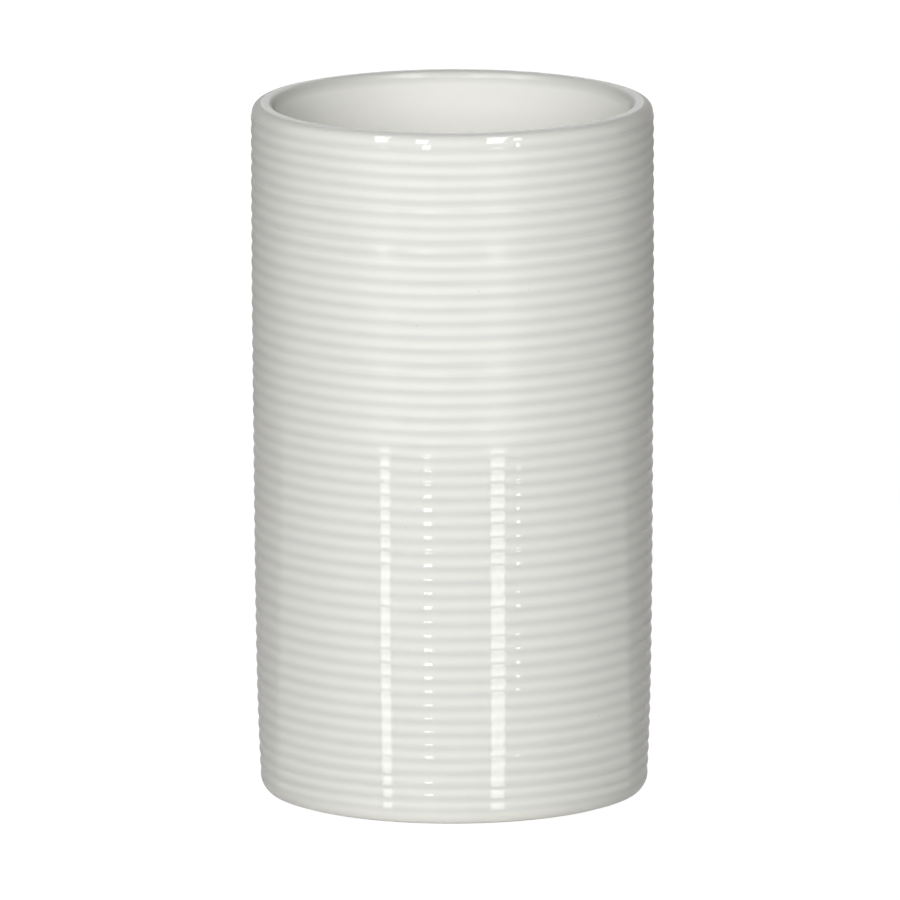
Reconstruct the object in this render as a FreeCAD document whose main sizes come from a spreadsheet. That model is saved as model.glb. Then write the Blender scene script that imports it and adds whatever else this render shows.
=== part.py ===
import FreeCAD, Part
import math
import os
import Sketcher

# A ridged ceramic bathroom tumbler. Millimetres, +Z up, standing at the origin on its anti-slip disc.
# Every piece is round about the Z axis, so each one is an outline of radius and height, turned about it.

doc = FreeCAD.newDocument("tumbler")

# Driving dimensions

DIMENSIONS = {
    # outside of the cup, over its glaze
    "cup_height": 114.5,
    "ridge_radius": 33.0,
    "wall_taper": 0.5,
    "taper_height": 84.0,
    "foot_curve": 0.8,
    "foot_curve_power": 6,
    # ridges, counted from the lip down, and the hollow flutes between them
    "ridge_count": 50,
    "top_ridge_drop": 2.45,
    "bottom_ridge_rise": 2.57,
    "flute_radius": 4.0,
    "clay_flute_radius": 2.9,
    # how far each slow wave of the hand-turned spacing moves the ridges
    "spacing_wave_1": 0.16,
    "spacing_wave_2": 0.55,
    "spacing_wave_3": -0.20,
    "spacing_wave_4": 0.27,
    # lip and inside, over the glaze
    "lip_inset": 0.15,
    "lip_width": 3.45,
    "lip_round": 1.35,
    "mouth_round": 1.2,
    "bore_taper": 1.0,
    "floor_round": 8.0,
    "floor_rise": 6.8,
    # glaze, which stops just above the foot ring
    "glaze": 0.25,
    "glaze_line_inset": 2.2,
    "glaze_line_rise": 0.3,
    "base_edge_radius": 3.0,
    # bare foot ring and the recess inside it
    "ring_inset": 0.9,
    "ring_width": 3.9,
    "ring_round": 0.5,
    "recess_depth": 1.6,
    # anti-slip disc and its sticky film
    "disc_stand": 0.2,
    "disc_clearance": 0.4,
    "disc_round": 0.4,
    "adhesive": 0.2,
    "adhesive_inset": 0.5,
}

SPACING_WAVES = 4

# Short outlines recompute much faster than one long one
FLUTES_IN_A_BAND = 7

sizes = doc.addObject("Spreadsheet::Sheet", "Sizes")
for row, (name, number) in enumerate(DIMENSIONS.items(), 1):
    sizes.set(f"A{row}", name)
    sizes.set(f"B{row}", str(number))
    sizes.setAlias(f"B{row}", name)
doc.recompute()

# Heights and radii that several pieces share, as expressions on the sheet

RING = "Sizes.disc_stand"
ROOF = "(Sizes.disc_stand + Sizes.recess_depth)"
GLAZE_LINE = "(Sizes.disc_stand + Sizes.glaze_line_rise)"
FLOOR = "(Sizes.disc_stand + Sizes.floor_rise)"
LIP = "(Sizes.disc_stand + Sizes.cup_height)"

LIP_RADIUS = "(Sizes.ridge_radius - Sizes.lip_inset)"
MOUTH_RADIUS = f"({LIP_RADIUS} - Sizes.lip_width)"
FLOOR_RADIUS = f"({MOUTH_RADIUS} - Sizes.bore_taper)"
GLAZE_LINE_RADIUS = "(Sizes.ridge_radius - Sizes.glaze_line_inset)"
RING_RADIUS = f"({GLAZE_LINE_RADIUS} - Sizes.ring_inset)"
RECESS_RADIUS = f"({RING_RADIUS} - Sizes.ring_width)"
DISC_RADIUS = f"({RECESS_RADIUS} - Sizes.disc_clearance)"
DISC_TOP = f"({ROOF} - Sizes.adhesive)"

# The glazes meet along the middle of the lip, and a cylinder of that radius stays inside the clay below it
WALL_MIDDLE = f"({LIP_RADIUS} - Sizes.lip_width / 2)"


def value(expression):
    """The number that an expression on the sheet gives now."""
    return float(sizes.evalExpression(expression))


def ridge_height(number, count):
    """Height of one ridge: even steps, moved by the slow waves of the hand-turned spacing."""
    share = number / (count - 1)
    top = f"{LIP} - Sizes.top_ridge_drop"
    span = "(Sizes.cup_height - Sizes.top_ridge_drop - Sizes.bottom_ridge_rise)"
    swings = {wave: math.sin(wave * math.pi * share) for wave in range(1, SPACING_WAVES + 1)}
    moves = " + ".join(f"{swing} * Sizes.spacing_wave_{wave}" for wave, swing in swings.items())
    return f"({top} - {share} * {span} + {moves})"


def ridge_radius(height):
    """Radius of the ridges at a height: upright at the top, then drawn in towards the foot."""
    depth = f"max(0; 1 - ({height} - {RING}) / Sizes.taper_height)"
    curve = f"Sizes.foot_curve * ({depth})^Sizes.foot_curve_power"
    return f"(Sizes.ridge_radius - Sizes.wall_taper * {depth} - {curve})"


def ridge_corners(inset):
    """Radius and height of every ridge, the lowest first."""
    count = int(value("Sizes.ridge_count"))
    heights = [ridge_height(number, count) for number in reversed(range(count))]
    return [(f"{ridge_radius(height)} - {inset}", height) for height in heights]


def ridge_bands(inset, flute):
    """Outlines of the ridged wall, in bands of a few flutes, from the middle of the wall outwards."""
    ridges = ridge_corners(inset)
    outlines = []
    for first in range(0, len(ridges) - 1, FLUTES_IN_A_BAND):
        band = ridges[first:first + FLUTES_IN_A_BAND + 1]
        fluted = [(*ridge, ("hollow", flute)) for ridge in band[:-1]]
        outlines.append([(WALL_MIDDLE, band[0][1]), *fluted, band[-1], (WALL_MIDDLE, band[-1][1])])
    return outlines


# Outlines

def edge_between(start, end, bend):
    """A straight or round edge of an outline, and which of its ends are the start and the end."""
    if not bend:
        return Part.LineSegment(start, end), 1, 2
    kind, radius = bend[0], value(bend[1])
    along = end - start
    to_left = FreeCAD.Vector(-along.y, along.x, 0).normalize()
    side = 1 if kind == "round" else -1
    reach = math.sqrt(radius ** 2 - (along.Length / 2) ** 2)
    centre = (start + end) / 2 + to_left * side * reach
    first, last = (start, end) if kind == "round" else (end, start)
    angles = [math.atan2(point.y - centre.y, point.x - centre.x) for point in (first, last)]
    arc = Part.ArcOfCircle(Part.Circle(centre, FreeCAD.Vector(0, 0, 1), radius), *angles)
    return (arc, 1, 2) if kind == "round" else (arc, 2, 1)


def draw_outline(sketch, corners):
    """Draw a closed outline, anticlockwise, and bind each corner and bend to the sheet.

    A corner is its radius, its height and, where the edge after it is bent, the bend: round or hollow.
    """
    points = [FreeCAD.Vector(value(corner[0]), value(corner[1]), 0) for corner in corners]
    bends = [corner[2] if len(corner) > 2 else None for corner in corners]
    count = len(corners)
    edges = [edge_between(points[i], points[(i + 1) % count], bends[i]) for i in range(count)]
    sketch.addGeometry([edge for edge, start, end in edges], False)
    origin_point = (-1, 1)
    constraints = []
    bindings = {}
    for i, (edge, start, end) in enumerate(edges):
        following = (i + 1) % count
        constraints.append(Sketcher.Constraint("Coincident", i, end, following, edges[following][1]))
        if corners[i][0] == "0":
            constraints.append(Sketcher.Constraint("Vertical", *origin_point, i, start))
        else:
            bindings[len(constraints)] = corners[i][0]
            constraints.append(Sketcher.Constraint("DistanceX", *origin_point, i, start, points[i].x))
        if corners[i][1] == "0":
            constraints.append(Sketcher.Constraint("Horizontal", *origin_point, i, start))
        else:
            bindings[len(constraints)] = corners[i][1]
            constraints.append(Sketcher.Constraint("DistanceY", *origin_point, i, start, points[i].y))
        if bends[i]:
            bindings[len(constraints)] = bends[i][1]
            constraints.append(Sketcher.Constraint("Radius", i, edge.Radius))
    sketch.addConstraint(constraints)
    for number, expression in bindings.items():
        sketch.setExpression(f"Constraints[{number}]", expression)


def turned(label, *outlines):
    """A body turned about the Z axis from one outline, or from several that touch."""
    body = doc.addObject("PartDesign::Body", label)
    body.Label = label
    plane = next(item for item in body.Origin.OriginFeatures if item.Role == "XZ_Plane")
    for number, corners in enumerate(outlines, 1):
        sketch = body.newObject("Sketcher::SketchObject", f"{label}_outline_{number}")
        sketch.AttachmentSupport = [(plane, "")]
        sketch.MapMode = "FlatFace"
        draw_outline(sketch, corners)
        turn = body.newObject("PartDesign::Revolution", f"{label}_turn_{number}")
        turn.Profile = sketch
        turn.ReferenceAxis = (sketch, ["V_Axis"])
        turn.Angle = 360
    return body


def skin(label, blank, clay):
    """What a glaze blank leaves outside the clay."""
    cut = doc.addObject("Part::Cut", label)
    cut.Label = label
    cut.Base = blank
    cut.Tool = clay
    return cut


# The clay cup, one glaze thickness inside every glazed face

def make_ceramic_body():
    inset = "Sizes.glaze"
    ridges = ridge_corners(inset)
    lip = f"({LIP} - {inset})"
    floor = f"({FLOOR} - {inset})"
    floor_corner = f"Sizes.floor_round + {inset}"
    underside = [
        ("0", ROOF),
        (RECESS_RADIUS, ROOF),
        (RECESS_RADIUS, f"{RING} + Sizes.ring_round", ("round", "Sizes.ring_round")),
        (f"{RECESS_RADIUS} + Sizes.ring_round", RING),
        (RING_RADIUS, RING),
    ]
    outside = [
        (f"{GLAZE_LINE_RADIUS} - {inset}", GLAZE_LINE, ("round", "Sizes.base_edge_radius")),
        ridges[0],
        (WALL_MIDDLE, ridges[0][1]),
        (WALL_MIDDLE, ridges[-1][1]),
        ridges[-1],
        (f"{LIP_RADIUS} - {inset}", f"{LIP} - Sizes.lip_round", ("round", f"Sizes.lip_round - {inset}")),
        (f"{LIP_RADIUS} - Sizes.lip_round", lip),
    ]
    inside = [
        (f"{MOUTH_RADIUS} + Sizes.mouth_round", lip, ("round", f"Sizes.mouth_round - {inset}")),
        (f"{MOUTH_RADIUS} + {inset}", f"{LIP} - Sizes.mouth_round"),
        (f"{FLOOR_RADIUS} + {inset}", f"{FLOOR} + Sizes.floor_round", ("hollow", floor_corner)),
        (f"{FLOOR_RADIUS} - Sizes.floor_round", floor),
        ("0", floor),
    ]
    cup = underside + outside + inside
    return turned("ceramic_body", cup, *ridge_bands(inset, "Sizes.clay_flute_radius"))


# Glaze skins: each is a blank that reaches into the clay wall, less the clay

def make_outer_glaze(clay):
    ridges = ridge_corners("0")
    foot = [
        (RING_RADIUS, GLAZE_LINE),
        (GLAZE_LINE_RADIUS, GLAZE_LINE, ("round", "Sizes.base_edge_radius")),
        ridges[0],
        (WALL_MIDDLE, ridges[0][1]),
    ]
    lip = [
        (WALL_MIDDLE, ridges[-1][1]),
        ridges[-1],
        (LIP_RADIUS, f"{LIP} - Sizes.lip_round", ("round", "Sizes.lip_round")),
        (f"{LIP_RADIUS} - Sizes.lip_round", LIP),
        (WALL_MIDDLE, LIP),
    ]
    blank = turned("outer_glaze_blank", foot, *ridge_bands("0", "Sizes.flute_radius"), lip)
    return skin("outer_glaze", blank, clay)


def make_liner_glaze(clay):
    middle_of_floor = f"(({ROOF} + {FLOOR}) / 2)"
    cup = [
        ("0", middle_of_floor),
        (RING_RADIUS, middle_of_floor),
        (WALL_MIDDLE, f"{LIP} - Sizes.lip_round"),
        (WALL_MIDDLE, LIP),
        (f"{MOUTH_RADIUS} + Sizes.mouth_round", LIP, ("round", "Sizes.mouth_round")),
        (MOUTH_RADIUS, f"{LIP} - Sizes.mouth_round"),
        (FLOOR_RADIUS, f"{FLOOR} + Sizes.floor_round", ("hollow", "Sizes.floor_round")),
        (f"{FLOOR_RADIUS} - Sizes.floor_round", FLOOR),
        ("0", FLOOR),
    ]
    return skin("liner_glaze", turned("liner_glaze_blank", cup), clay)


# Rubber disc under the base, and the film that holds it in the recess

def make_anti_slip_disc():
    disc = [
        ("0", "0"),
        (f"{DISC_RADIUS} - Sizes.disc_round", "0", ("round", "Sizes.disc_round")),
        (DISC_RADIUS, "Sizes.disc_round"),
        (DISC_RADIUS, DISC_TOP),
        ("0", DISC_TOP),
    ]
    return turned("anti_slip_disc", disc)


def make_disc_adhesive():
    film = doc.addObject("Part::Cylinder", "disc_adhesive")
    film.Label = "disc_adhesive"
    film.setExpression("Radius", f"{DISC_RADIUS} - Sizes.adhesive_inset")
    film.setExpression("Height", "Sizes.adhesive")
    film.setExpression("Placement.Base.z", DISC_TOP)
    return film


ceramic_body = make_ceramic_body()
pieces = [
    ceramic_body,
    make_outer_glaze(ceramic_body),
    make_liner_glaze(ceramic_body),
    make_anti_slip_disc(),
    make_disc_adhesive(),
]
doc.recompute()

# Check and write

for item in doc.Objects:
    if "Invalid" in item.State or "Error" in item.State:
        raise RuntimeError(f"{item.Label} failed: {item.State}")

os.makedirs("parts", exist_ok=True)
for piece in pieces:
    shape = piece.Shape
    if shape.isNull() or not shape.isValid():
        raise RuntimeError(f"{piece.Label} has no valid shape")
    shape.exportStep(f"parts/{piece.Label}.step")
    print(f"{piece.Label}: {len(shape.Solids)} solid, {shape.Volume / 1000:.2f} cm3")
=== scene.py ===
import math

import bpy
from mathutils import Euler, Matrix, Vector, noise


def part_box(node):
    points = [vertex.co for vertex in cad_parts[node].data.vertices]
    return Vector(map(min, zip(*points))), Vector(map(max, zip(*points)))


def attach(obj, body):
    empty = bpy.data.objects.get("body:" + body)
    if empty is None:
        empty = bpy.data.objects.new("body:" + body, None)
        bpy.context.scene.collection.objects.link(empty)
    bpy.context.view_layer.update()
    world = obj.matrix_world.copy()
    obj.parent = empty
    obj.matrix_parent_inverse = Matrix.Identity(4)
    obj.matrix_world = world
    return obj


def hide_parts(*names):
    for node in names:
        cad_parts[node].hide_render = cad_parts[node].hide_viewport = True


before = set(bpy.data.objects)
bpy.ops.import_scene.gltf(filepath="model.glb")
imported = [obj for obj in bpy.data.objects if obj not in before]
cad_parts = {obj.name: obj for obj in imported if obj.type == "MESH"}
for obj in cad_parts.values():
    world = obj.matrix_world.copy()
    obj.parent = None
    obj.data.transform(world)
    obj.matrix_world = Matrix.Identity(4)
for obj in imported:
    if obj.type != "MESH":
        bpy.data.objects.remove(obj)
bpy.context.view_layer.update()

# A ridged white tumbler. Metres, +Z up, standing at the origin, with the camera on the -Y side.

MM = 0.001

# Sizes read from the frame

glaze_low, glaze_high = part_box("outer_glaze")
clay_low, clay_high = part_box("ceramic_body")
liner_low, liner_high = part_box("liner_glaze")
disc_low, disc_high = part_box("anti_slip_disc")

LIP_TOP = glaze_high.z
RING_PLANE = clay_low.z
GLAZE_LINE = glaze_low.z
RIDGE_RADIUS = glaze_high.x
SEAM_RADIUS = liner_high.x
CUP_HEIGHT = LIP_TOP - RING_PLANE

# Outside of the cup, as the solids have it

GLAZE = 0.25 * MM
WALL_TAPER = 0.5 * MM
TAPER_HEIGHT = 84.0 * MM
FOOT_CURVE = 0.8 * MM
FOOT_CURVE_POWER = 6
RIDGE_COUNT = 50
TOP_RIDGE_DROP = 2.45 * MM
BOTTOM_RIDGE_RISE = 2.57 * MM
SPACING_WAVES = [0.16 * MM, 0.55 * MM, -0.20 * MM, 0.27 * MM]
GLAZE_LINE_RADIUS = RIDGE_RADIUS - 2.2 * MM
BASE_EDGE_RADIUS = 3.0 * MM

# Lip and inside. The lip is rounded a little more softly than on the solids.

LIP_RADIUS = RIDGE_RADIUS - 0.15 * MM
LIP_ROUND = 1.75 * MM
MOUTH_RADIUS = LIP_RADIUS - 3.45 * MM
MOUTH_ROUND = 1.2 * MM
INSIDE_FLOOR_RADIUS = MOUTH_RADIUS - 1.0 * MM
INSIDE_FLOOR_ROUND = 8.0 * MM
INSIDE_FLOOR = liner_low.z + GLAZE

# A soft swelling of the glaze inside, just below the lip

SWELL = 0.03 * MM
SWELL_DROP = 3.4 * MM
SWELL_WIDTH = 1.4 * MM

# Ridges: rounded waves of the wall, with flutes that are not all as deep

FLUTE_DEPTH = 0.15 * MM
FLUTE_UNEVEN = 0.35
FLUTE_STEPS = 10
# How far from each ridge the painted shade of the ridge lines reaches
RIDGE_SHADE_WIDTH = 0.62 * MM

TURN_STEPS = 168
WELD = 0.002 * MM


def ridge_height(number):
    """Height of one ridge, counted from the lip: even steps, moved by the slow waves of the spacing."""
    share = number / (RIDGE_COUNT - 1)
    span = CUP_HEIGHT - TOP_RIDGE_DROP - BOTTOM_RIDGE_RISE
    waves = sum(size * math.sin(wave * math.pi * share) for wave, size in enumerate(SPACING_WAVES, 1))
    return LIP_TOP - TOP_RIDGE_DROP - share * span + waves


def wall_radius(height):
    """Radius over the ridges at a height: upright at the top, then drawn in towards the foot."""
    depth = max(0, 1 - (height - RING_PLANE) / TAPER_HEIGHT)
    return RIDGE_RADIUS - WALL_TAPER * depth - FOOT_CURVE * depth ** FOOT_CURVE_POWER


def flute_depth(number):
    """Depth of one flute, uneven from flute to flute."""
    return FLUTE_DEPTH * (1 + FLUTE_UNEVEN * noise.noise(Vector((1.7 * number, 4.3, 0.6))))


# Heights of the ridges, the lowest first
RIDGES = [ridge_height(number) for number in reversed(range(RIDGE_COUNT))]


# Outlines of radius and height, anticlockwise

def arc(start, end, radius, steps, hollow=False):
    """Points from start to end along a round corner, without the last one."""
    start, end = Vector(start), Vector(end)
    along = end - start
    reach = math.sqrt(radius ** 2 - (along.length / 2) ** 2)
    to_left = Vector((-along.y, along.x)).normalized()
    centre = (start + end) / 2 + to_left * (-reach if hollow else reach)
    first = math.atan2(start.y - centre.y, start.x - centre.x)
    last = math.atan2(end.y - centre.y, end.x - centre.x)
    turn = (last - first + math.pi) % math.tau - math.pi
    angles = [first + turn * step / steps for step in range(steps)]
    return [(centre.x + radius * math.cos(a), centre.y + radius * math.sin(a)) for a in angles]


def ridged_wall():
    """The outside wall from the lowest ridge to the top one: a rounded hollow between each two ridges."""
    points = []
    for number, (low, high) in enumerate(zip(RIDGES, RIDGES[1:])):
        for step in range(FLUTE_STEPS):
            share = step / FLUTE_STEPS
            height = low + share * (high - low)
            hollow = flute_depth(number) * (1 - math.cos(math.tau * share)) / 2
            points.append((wall_radius(height) - hollow, height))
    return points


def outer_glaze_outline():
    foot = (GLAZE_LINE_RADIUS, GLAZE_LINE)
    lowest = (wall_radius(RIDGES[0]), RIDGES[0])
    top = (wall_radius(RIDGES[-1]), RIDGES[-1])
    lip_side = (LIP_RADIUS, LIP_TOP - LIP_ROUND)
    lip_edge = (LIP_RADIUS - LIP_ROUND, LIP_TOP)
    outside = arc(foot, lowest, BASE_EDGE_RADIUS, 8) + ridged_wall() + [top]
    lip = arc(lip_side, lip_edge, LIP_ROUND, 10) + [lip_edge, (SEAM_RADIUS, LIP_TOP)]
    under_lip = [(SEAM_RADIUS, LIP_TOP - GLAZE), (lip_edge[0], LIP_TOP - GLAZE)]
    under_lip += [(LIP_RADIUS - GLAZE, lip_side[1])]
    back = [(wall_radius(height) - GLAZE, height) for height in reversed(RIDGES[::7])]
    return outside + lip + under_lip + back + [(GLAZE_LINE_RADIUS - GLAZE, GLAZE_LINE)]


def swelling(wall_foot, mouth):
    """The inside wall where it swells a little, below the mouth."""
    points = []
    for step in range(-4, 5):
        height = LIP_TOP - SWELL_DROP + step / 4 * SWELL_WIDTH
        share = (height - wall_foot[1]) / (mouth[1] - wall_foot[1])
        wall = wall_foot[0] + share * (mouth[0] - wall_foot[0])
        points.append((wall - SWELL * (1 + math.cos(math.pi * step / 4)) / 2, height))
    return points


def liner_outline():
    outline = []
    for inset in (0, GLAZE):
        corner = (INSIDE_FLOOR_RADIUS - INSIDE_FLOOR_ROUND, INSIDE_FLOOR - inset)
        wall_foot = (INSIDE_FLOOR_RADIUS + inset, INSIDE_FLOOR + INSIDE_FLOOR_ROUND)
        mouth = (MOUTH_RADIUS + inset, LIP_TOP - MOUTH_ROUND)
        lip_edge = (MOUTH_RADIUS + MOUTH_ROUND, LIP_TOP - inset)
        side = [(0, INSIDE_FLOOR - inset)]
        side += arc(corner, wall_foot, INSIDE_FLOOR_ROUND + inset, 16)
        side += [wall_foot] + swelling(wall_foot, mouth)
        side += arc(mouth, lip_edge, MOUTH_ROUND - inset, 10, hollow=True)
        side += [lip_edge, (SEAM_RADIUS, LIP_TOP - inset)]
        outline += side if inset else side[::-1]
    return outline


# Turning a piece on the Z axis

def drawn(name, points):
    """A new object, left in edit mode, with an open outline drawn through some points."""
    bpy.ops.object.select_all(action="DESELECT")
    points = [Vector(point) for point in points]
    bpy.ops.mesh.primitive_plane_add(size=MM, location=points[0])
    piece = bpy.context.object
    piece.name = name
    piece.data.name = name
    bpy.ops.object.transform_apply()
    bpy.ops.object.mode_set(mode="EDIT")
    bpy.ops.mesh.merge(type="CENTER")
    for point, following in zip(points, points[1:]):
        bpy.ops.mesh.extrude_vertices_move(TRANSFORM_OT_translate={"value": following - point})
    bpy.ops.mesh.select_all(action="SELECT")
    return piece


def turned(name, outline, steps=TURN_STEPS):
    """A piece made by drawing an outline of radius and height and turning it once about the Z axis."""
    piece = drawn(name, [(radius, 0, height) for radius, height in outline])
    bpy.ops.mesh.spin(steps=steps, angle=math.tau, center=(0, 0, 0), axis=(0, 0, 1))
    bpy.ops.mesh.select_all(action="SELECT")
    bpy.ops.mesh.remove_doubles(threshold=WELD)
    bpy.ops.mesh.normals_make_consistent(inside=False)
    bpy.ops.object.mode_set(mode="OBJECT")
    return piece


def finish_piece(piece, node, material):
    """Shade a piece, give it its material and put it in the place of its solid."""
    bpy.ops.object.shade_smooth_by_angle(angle=math.radians(40))
    piece.data.materials.append(material)
    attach(piece, "root")
    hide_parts(node)


# Shader nodes

class Signal:
    """A socket of a node tree. Arithmetic on signals adds Math nodes."""

    def __init__(self, tree, socket):
        self.tree = tree
        self.socket = socket

    @classmethod
    def node(cls, tree, kind, settings=None, inputs=None, output=0):
        """Add a node: its settings first, then the values or links of its sockets."""
        node = tree.nodes.new(kind)
        for name, setting in (settings or {}).items():
            setattr(node, name, setting)
        for name, value in (inputs or {}).items():
            if isinstance(value, Signal):
                tree.links.new(value.socket, node.inputs[name])
            else:
                node.inputs[name].default_value = value
        return cls(tree, node.outputs[output])

    def math(self, operation, *values):
        inputs = dict(enumerate(values))
        return self.node(self.tree, "ShaderNodeMath", {"operation": operation}, inputs)

    def __add__(self, other):
        return self.math("ADD", self, other)

    def __sub__(self, other):
        return self.math("SUBTRACT", self, other)

    def __rsub__(self, other):
        return self.math("SUBTRACT", other, self)

    def __mul__(self, other):
        return self.math("MULTIPLY", self, other)

    def __lt__(self, other):
        return self.math("LESS_THAN", self, other)

    def __gt__(self, other):
        return self.math("GREATER_THAN", self, other)

    def over(self, other):
        """The larger of two signals."""
        return self.math("MAXIMUM", self, other)

    __radd__ = __add__
    __rmul__ = __mul__


def new_material(name):
    material = bpy.data.materials.new(name)
    material.use_nodes = True
    return material, material.node_tree, material.node_tree.nodes["Principled BSDF"]


def object_place(tree):
    return Signal.node(tree, "ShaderNodeTexCoord", output="Object")


def cloud(tree, place, scale, detail=2.0, stretch=(1, 1, 1)):
    """Soft noise from about 0 to 1. Scale is in clouds per metre."""
    mapped = Signal.node(tree, "ShaderNodeMapping", None, {"Vector": place, "Scale": stretch})
    settings = {"Vector": mapped, "Scale": scale, "Detail": detail}
    return Signal.node(tree, "ShaderNodeTexNoise", None, settings)


def mixed(tree, factor, low, high):
    """A colour between two colours."""
    inputs = {0: factor, 6: low, 7: high}
    return Signal.node(tree, "ShaderNodeMix", {"data_type": "RGBA"}, inputs, output=2)


def bump(tree, height, depth, strength):
    inputs = {"Height": height, "Distance": depth, "Strength": strength}
    return Signal.node(tree, "ShaderNodeBump", None, inputs)


def feed(tree, shader, **signals):
    """Link signals to the shader's sockets, named with underscores for spaces."""
    for name, signal in signals.items():
        tree.links.new(signal.socket, shader.inputs[name.replace("_", " ")])


# Finishes

OUTER_WHITE = (0.825, 0.828, 0.786, 1)
OUTER_WARM = (0.812, 0.806, 0.758, 1)
# Grey painted on the ridges as the shade of the dark ridge lines
OUTER_RIDGE_SHADE = (0.685, 0.695, 0.660, 1)
# The liner is the same glaze as the outside, painted lighter: painted light for the inside of the cup
LINER_PAINTED_LIGHT_WHITE = (0.925, 0.928, 0.885, 1)
LINER_PAINTED_LIGHT_WARM = (0.915, 0.910, 0.862, 1)
LIP_PAINTED_SHADE = (0.72, 0.727, 0.69, 1)
SPECK = (0.44, 0.44, 0.40, 1)
CLAY_PALE = (0.80, 0.76, 0.69, 1)
CLAY_WARM = (0.72, 0.67, 0.59, 1)
CLAY_GRAIN = (0.52, 0.46, 0.38, 1)
RUBBER_GREY = (0.56, 0.56, 0.54, 1)
RUBBER_BLOOM = (0.68, 0.68, 0.66, 1)
FILM_MILKY = (0.88, 0.86, 0.80, 1)
FILM_HAZY = (0.80, 0.78, 0.71, 1)
FILM_BUBBLE = (0.93, 0.92, 0.88, 1)

# Patterns in the glaze, in clouds or cells per metre

CLOUDING = 45.0
GLOSS_CLOUDING = 130.0
MOTTLE = 110.0
SATIN_BANDS = 150.0
SPECK_CELLS = 190.0
GLAZE_GRAIN = 900.0

# How far the painted shade on the liner's upward-facing lip, and its duller gloss, reach down from the top
# of the lip
LINER_LIP = 2.2 * MM
LINER_LIP_DULL = 0.25


# The wall mirrors the lamps sharply only on its lower half, so the glaze turns satin above that
GLOSSY_BELOW = RING_PLANE + 60 * MM
SATIN_ABOVE = RING_PLANE + 65 * MM
SATIN = 0.36


def height_share(tree, place, low, high):
    """0 below one height, 1 above another, and even between them."""
    height = Signal.node(tree, "ShaderNodeSeparateXYZ", None, {"Vector": place}, output="Z")
    limits = {"Value": height, "From Min": low, "From Max": high}
    return Signal.node(tree, "ShaderNodeMapRange", None, limits)


def satin_wall(tree, place):
    """Roughness that the glaze gains on the upper half of the wall, in bands, but not on the lip."""
    upper_half = SATIN * height_share(tree, place, GLOSSY_BELOW, SATIN_ABOVE)
    upper_half = upper_half * (1 - height_share(tree, place, RIDGES[-1], RIDGES[-1] + 0.2 * MM))
    streaks = cloud(tree, place, SATIN_BANDS, stretch=(0, 0, 1))
    limits = {"Value": streaks, "From Min": 0.3, "From Max": 0.5}
    bands = Signal.node(tree, "ShaderNodeMapRange", None, limits)
    return upper_half * bands


def glaze_finish(name, white, warm, ridged):
    """Glossy white glaze: clouded a little, with painted shade greying the ridges and the liner's lip, and
    a few pinhead specks.
    """
    material, tree, shader = new_material(name)
    place = object_place(tree)
    colour = mixed(tree, cloud(tree, place, CLOUDING), white, warm)
    roughness = 0.01 + 0.015 * cloud(tree, place, GLOSS_CLOUDING)
    if ridged:
        roughness = roughness + satin_wall(tree, place)
        # Painted shade: the ridges are greyed where the dark ridge lines fall, and made a little rougher
        # there
        painted_shade_on_ridges = Signal.node(tree, "ShaderNodeAttribute", {"attribute_name": "painted_ridge_shade"}, output="Fac")
        mottle = cloud(tree, place, MOTTLE, 3.0, stretch=(1, 1, 3))
        painted_shade_on_ridges = painted_shade_on_ridges * (0.62 + 0.6 * mottle)
        colour = mixed(tree, painted_shade_on_ridges, colour, OUTER_RIDGE_SHADE)
        roughness = roughness + 0.03 * painted_shade_on_ridges
    else:
        # Painted shade: the top of the lip, which faces up, is greyed, and its roughness rises there too
        lip = height_share(tree, place, LIP_TOP - LINER_LIP, LIP_TOP - 0.3 * LINER_LIP)
        colour = mixed(tree, lip, colour, LIP_PAINTED_SHADE)
        roughness = roughness + LINER_LIP_DULL * lip
    cells = {"Vector": place, "Scale": SPECK_CELLS}
    distance = Signal.node(tree, "ShaderNodeTexVoronoi", None, cells, output="Distance")
    speck_size = cloud(tree, place, 60.0) * 0.055
    specks = (distance < speck_size) * 0.4
    colour = mixed(tree, specks, colour, SPECK)
    grain = cloud(tree, place, GLAZE_GRAIN, 1.0)
    orange_peel = bump(tree, grain, 0.005 * MM, 0.03)
    feed(tree, shader, Base_Color=colour, Roughness=roughness, Normal=orange_peel)
    return material


def clay_finish():
    """Bare fired clay: matt, warm and finely grained."""
    material, tree, shader = new_material("clay")
    place = object_place(tree)
    grain = cloud(tree, place, 2600.0, 3.0)
    colour = mixed(tree, cloud(tree, place, 160.0), CLAY_PALE, CLAY_WARM)
    colour = mixed(tree, (grain > 0.66) * 0.35, colour, CLAY_GRAIN)
    pits = bump(tree, grain, 0.06 * MM, 0.6)
    feed(tree, shader, Base_Color=colour, Roughness=0.78 + 0.16 * grain, Normal=pits)
    return material


def rubber_finish():
    """Soft matt grey rubber with a dusty bloom."""
    material, tree, shader = new_material("disc_rubber")
    place = object_place(tree)
    dust = cloud(tree, place, 320.0, 4.0)
    grain = cloud(tree, place, 3200.0, 2.0)
    colour = mixed(tree, dust, RUBBER_GREY, RUBBER_BLOOM)
    pores = bump(tree, grain, 0.03 * MM, 0.5)
    feed(tree, shader, Base_Color=colour, Roughness=0.62 + 0.25 * dust, Normal=pores)
    return material


def film_finish():
    """Milky sticky film with small trapped bubbles."""
    material, tree, shader = new_material("adhesive_film")
    place = object_place(tree)
    cells = {"Vector": place, "Scale": 700.0}
    distance = Signal.node(tree, "ShaderNodeTexVoronoi", None, cells, output="Distance")
    bubbles = (distance < 0.22) * 0.6
    haze = cloud(tree, place, 240.0)
    colour = mixed(tree, haze, FILM_MILKY, FILM_HAZY)
    colour = mixed(tree, bubbles, colour, FILM_BUBBLE)
    feed(tree, shader, Base_Color=colour, Roughness=0.35 + 0.2 * haze)
    return material


# Pieces

WAVER = 0.008 * MM
WAVER_SIZE = 14 * MM


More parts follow.
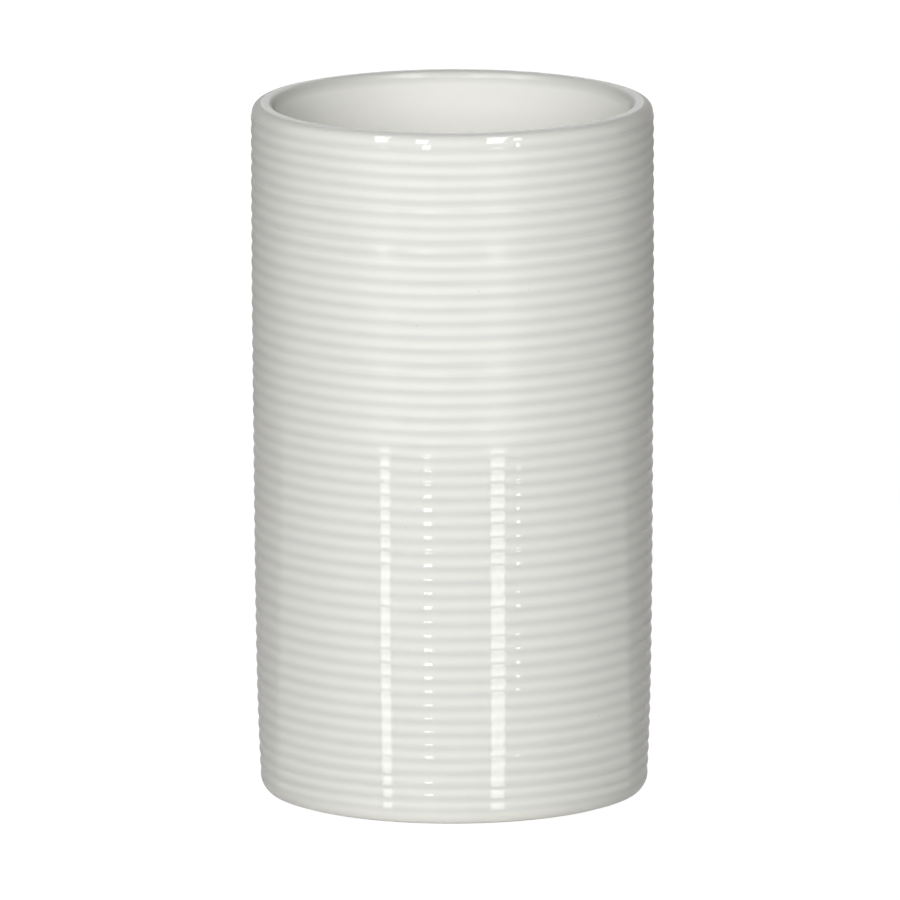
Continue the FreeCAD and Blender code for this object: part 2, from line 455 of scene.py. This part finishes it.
def settle(piece, depth, size):
    """Move a turned wall in and out a little, as a cast and fired one is."""
    texture = bpy.data.textures.new(f"{piece.name}_waver", "CLOUDS")
    texture.noise_scale = size
    texture.noise_depth = 1
    waver = piece.modifiers.new("waver", "DISPLACE")
    waver.texture = texture
    waver.texture_coords = "LOCAL"
    waver.strength = depth
    waver.mid_level = 0.5
    bpy.ops.object.modifier_apply(modifier=waver.name)


def mark_painted_ridge_shade(piece):
    """Store a weight for the painted shade of the ridge lines at each vertex: 1 on a ridge, 0 in a flute.
    """
    painted_shade_on_ridges = piece.data.attributes.new("painted_ridge_shade", "FLOAT", "POINT")
    for vertex in piece.data.vertices:
        nearest = min(abs(vertex.co.z - height) for height in RIDGES)
        painted_shade_on_ridges.data[vertex.index].value = math.exp(-(nearest / RIDGE_SHADE_WIDTH) ** 2)


OUTER_FINISH = glaze_finish("outer_glaze", OUTER_WHITE, OUTER_WARM, ridged=True)
LINER_FINISH = glaze_finish("liner_glaze", LINER_PAINTED_LIGHT_WHITE, LINER_PAINTED_LIGHT_WARM, ridged=False)


def make_outer_glaze():
    piece = turned("outer_glaze_skin", outer_glaze_outline())
    mark_painted_ridge_shade(piece)
    settle(piece, WAVER, WAVER_SIZE)
    finish_piece(piece, "outer_glaze", OUTER_FINISH)


def make_liner_glaze():
    piece = turned("liner_glaze_skin", liner_outline())
    settle(piece, WAVER, WAVER_SIZE)
    finish_piece(piece, "liner_glaze", LINER_FINISH)


DISC_ROUND = 0.4 * MM
GRIP_RINGS = 9
GRIP_DEPTH = 0.25 * MM
GRIP_WIDTH = 0.9 * MM


def disc_outline():
    """The rubber disc, with ring grooves in its underside for grip."""
    radius, top = disc_high.x, disc_high.z
    outline = [(0, top), (0, 0)]
    pitch = (radius - DISC_ROUND) / (GRIP_RINGS + 1)
    for ring in range(1, GRIP_RINGS + 1):
        middle = ring * pitch
        for across, depth in ((-0.5, 0), (-0.3, 1), (0.3, 1), (0.5, 0)):
            outline.append((middle + across * GRIP_WIDTH, depth * GRIP_DEPTH))
    outline += arc((radius - DISC_ROUND, 0), (radius, DISC_ROUND), DISC_ROUND, 6)
    outline += [(radius, DISC_ROUND), (radius, top)]
    return outline + outline[:1]


def make_anti_slip_disc():
    piece = turned("anti_slip_disc_moulded", disc_outline(), steps=128)
    finish_piece(piece, "anti_slip_disc", rubber_finish())


def paint_node(node, material):
    """Give a solid of the frame its finish."""
    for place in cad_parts[node].material_slots:
        place.material = material


make_outer_glaze()
make_liner_glaze()
make_anti_slip_disc()
paint_node("ceramic_body", clay_finish())
paint_node("disc_adhesive", film_finish())


# Camera

CAMERA_DISTANCE = 3.3
CAMERA_PITCH = math.radians(10.78)
CAMERA_ROLL = math.radians(-0.16)
CAMERA_LENS = 804.0
AIM = Vector((-0.54 * MM, 0, RING_PLANE + 56.4 * MM))


def make_camera():
    back = Vector((0, -math.cos(CAMERA_PITCH), math.sin(CAMERA_PITCH)))
    turn = (-back).to_track_quat("-Z", "Y").to_matrix() @ Euler((0, 0, CAMERA_ROLL)).to_matrix()
    bpy.ops.object.camera_add(location=AIM + CAMERA_DISTANCE * back, rotation=turn.to_euler())
    camera = bpy.context.object
    camera.data.lens = CAMERA_LENS
    bpy.context.scene.camera = camera


# Floor, surroundings and lights

FLOOR_SIZE = 12.0
FLOOR_COLOUR = (0.92, 0.92, 0.91, 1)
FLOOR_WHITE = 1.1
SHADOW_SHARE = 0.1
AMBIENT = 0.02

# The floor lies a hair below the disc, so that the two faces don't share a plane
FLOOR_DROP = 0.05 * MM

SOFT_LAMP_DISTANCE = 3.0


def seen_directly(tree):
    """1 where the camera sees a thing straight, mirrored or through glass, 0 where it only gives light."""
    paths = Signal.node(tree, "ShaderNodeLightPath", output="Is Camera Ray")
    node = paths.socket.node
    for name in ("Is Glossy Ray", "Is Transmission Ray"):
        paths = paths.over(Signal(tree, node.outputs[name]))
    return paths


def make_floor():
    bpy.ops.mesh.primitive_plane_add(size=FLOOR_SIZE, location=(0, 0, -FLOOR_DROP))
    floor = bpy.context.object
    floor.name = "floor"
    material, tree, shader = new_material("floor")
    shader.inputs["Base Color"].default_value = FLOOR_COLOUR
    shader.inputs["Roughness"].default_value = 1
    shader.inputs["Specular IOR Level"].default_value = 0
    white = Signal.node(tree, "ShaderNodeEmission", None, {"Strength": FLOOR_WHITE})
    factor = seen_directly(tree) * (1 - SHADOW_SHARE)
    inputs = {0: factor, 1: Signal(tree, shader.outputs["BSDF"]), 2: white}
    shown = Signal.node(tree, "ShaderNodeMixShader", None, inputs)
    tree.links.new(shown.socket, tree.nodes["Material Output"].inputs["Surface"])
    floor.data.materials.append(material)
    floor.visible_glossy = False


def make_surroundings():
    world = bpy.data.worlds.new("surroundings")
    bpy.context.scene.world = world
    world.use_nodes = True
    tree = world.node_tree
    ambient = (AMBIENT, AMBIENT, AMBIENT, 1)
    colour = mixed(tree, seen_directly(tree), ambient, (1, 1, 1, 1))
    tree.links.new(colour.socket, tree.nodes["Background"].inputs["Color"])


def outward(azimuth, elevation):
    """A direction away from the cup. Azimuth is from the camera's side, to the right."""
    around, up = math.radians(azimuth), math.radians(elevation)
    return Vector((math.sin(around) * math.cos(up), -math.cos(around) * math.cos(up), math.sin(up)))


def soft_lamp(name, azimuth, elevation, size, glow):
    """A square lamp facing the middle of the cup, which the glaze doesn't mirror."""
    back = outward(azimuth, elevation)
    turn = (-back).to_track_quat("-Z", "Y").to_euler()
    bpy.ops.object.light_add(type="AREA", location=AIM + SOFT_LAMP_DISTANCE * back, rotation=turn)
    light = bpy.context.object
    light.name = name
    light.data.size = size
    light.data.energy = math.pi * size ** 2 * glow
    light.visible_glossy = False


# Cards that only the glaze mirrors. The floor doesn't hide them from it.

CARD_COLOUR = (1, 0.97, 0.96, 1)
STRIP_DISTANCE = 1.2
STRIP_STEPS = 8
FLAG_FOOT = 32.6 * MM
FLAG_HEAD = 64 * MM
FLAG_TOP = 200 * MM
FLAG_FRONT = -10 * MM
FLAG_DEPTH = 1.0
FLAG_GLOW = 0.5
SHADE_SIZE = 80 * MM
BAR_TILTS = (-25, 8)
BAR_GLOW = 5.4
GLINT_GLOW = 8


def card(name, rail, across, glow):
    """A card made by drawing one edge through some points and pulling it across."""
    piece = drawn(name, rail)
    bpy.ops.mesh.extrude_edges_move(TRANSFORM_OT_translate={"value": across})
    bpy.ops.object.mode_set(mode="OBJECT")
    material, tree, shader = new_material(name)
    shader.inputs["Base Color"].default_value = (0, 0, 0, 1)
    shader.inputs["Specular IOR Level"].default_value = 0
    shader.inputs["Emission Color"].default_value = CARD_COLOUR
    shader.inputs["Emission Strength"].default_value = glow
    piece.data.materials.append(material)
    piece.visible_camera = False
    piece.visible_diffuse = False
    piece.visible_transmission = False
    piece.visible_shadow = False


def mirrored(azimuth, tilt):
    """The direction that the camera sees mirrored at an azimuth of the wall, where it is tilted up."""
    face = outward(azimuth, tilt)
    to_camera = outward(0, math.degrees(CAMERA_PITCH))
    return 2 * face.dot(to_camera) * face - to_camera


def strip_lamp(name, azimuth, width, low, high, glow):
    """A strip lamp, bent so that the wall mirrors it upright where the wall's tilt is from low to high."""
    tilts = [low + (high - low) * step / STRIP_STEPS for step in range(STRIP_STEPS + 1)]
    left, right = azimuth - width / 2, azimuth + width / 2
    rail = [AIM + STRIP_DISTANCE * mirrored(left, tilt) for tilt in tilts]
    card(name, rail, STRIP_DISTANCE * (mirrored(right, 0) - mirrored(left, 0)), glow)


def side_flag(name, side):
    """A dark card beside and behind the cup, which keeps the edges of the glaze from going white."""
    ends = ((FLAG_HEAD, -FLAG_TOP), (FLAG_FOOT, 0), (FLAG_HEAD, FLAG_TOP))
    rail = [(side * away, FLAG_FRONT, height) for away, height in ends]
    card(name, rail, (0, FLAG_DEPTH, 0), FLAG_GLOW)


def foot_shade():
    """A dark card that only the glaze mirrors: painted shadow of the floor close round the foot."""
    low, high = -SHADE_SIZE / 2, SHADE_SIZE / 2
    rail = [(low, low, -FLOOR_DROP), (low, high, -FLOOR_DROP)]
    card("foot_shade", rail, (SHADE_SIZE, 0, 0), FLAG_GLOW)


def make_lights():
    """Soft lamps, then strips for the bars and dots on the wall and the glints on the lip, then shades."""
    soft_lamp("soft_front", azimuth=-7, elevation=21, size=1.6, glow=9.8)
    soft_lamp("soft_back", azimuth=180, elevation=18, size=1.2, glow=11.5)
    strip_lamp("bar_left", -19.7, 2.7, *BAR_TILTS, BAR_GLOW)
    strip_lamp("bar_right", 12.6, 3.9, *BAR_TILTS, BAR_GLOW)
    strip_lamp("dots_left", -7.3, 2.4, 6.8, 10.5, GLINT_GLOW)
    strip_lamp("dots_right", 18.7, 1.2, 7.8, 10.5, GLINT_GLOW)
    strip_lamp("glint_left", -20.3, 3.4, 12, 45, GLINT_GLOW)
    strip_lamp("glint_left_small", -8.7, 3.2, 13, 34, GLINT_GLOW)
    strip_lamp("glint_right", 11.9, 4.6, 12, 45, GLINT_GLOW)
    strip_lamp("glint_right_small", 18.4, 2.2, 20, 36, GLINT_GLOW)
    side_flag("flag_left", -1)
    side_flag("flag_right", 1)
    foot_shade()


make_camera()
make_floor()
make_surroundings()
make_lights()

bpy.context.scene.view_settings.view_transform = "Standard"
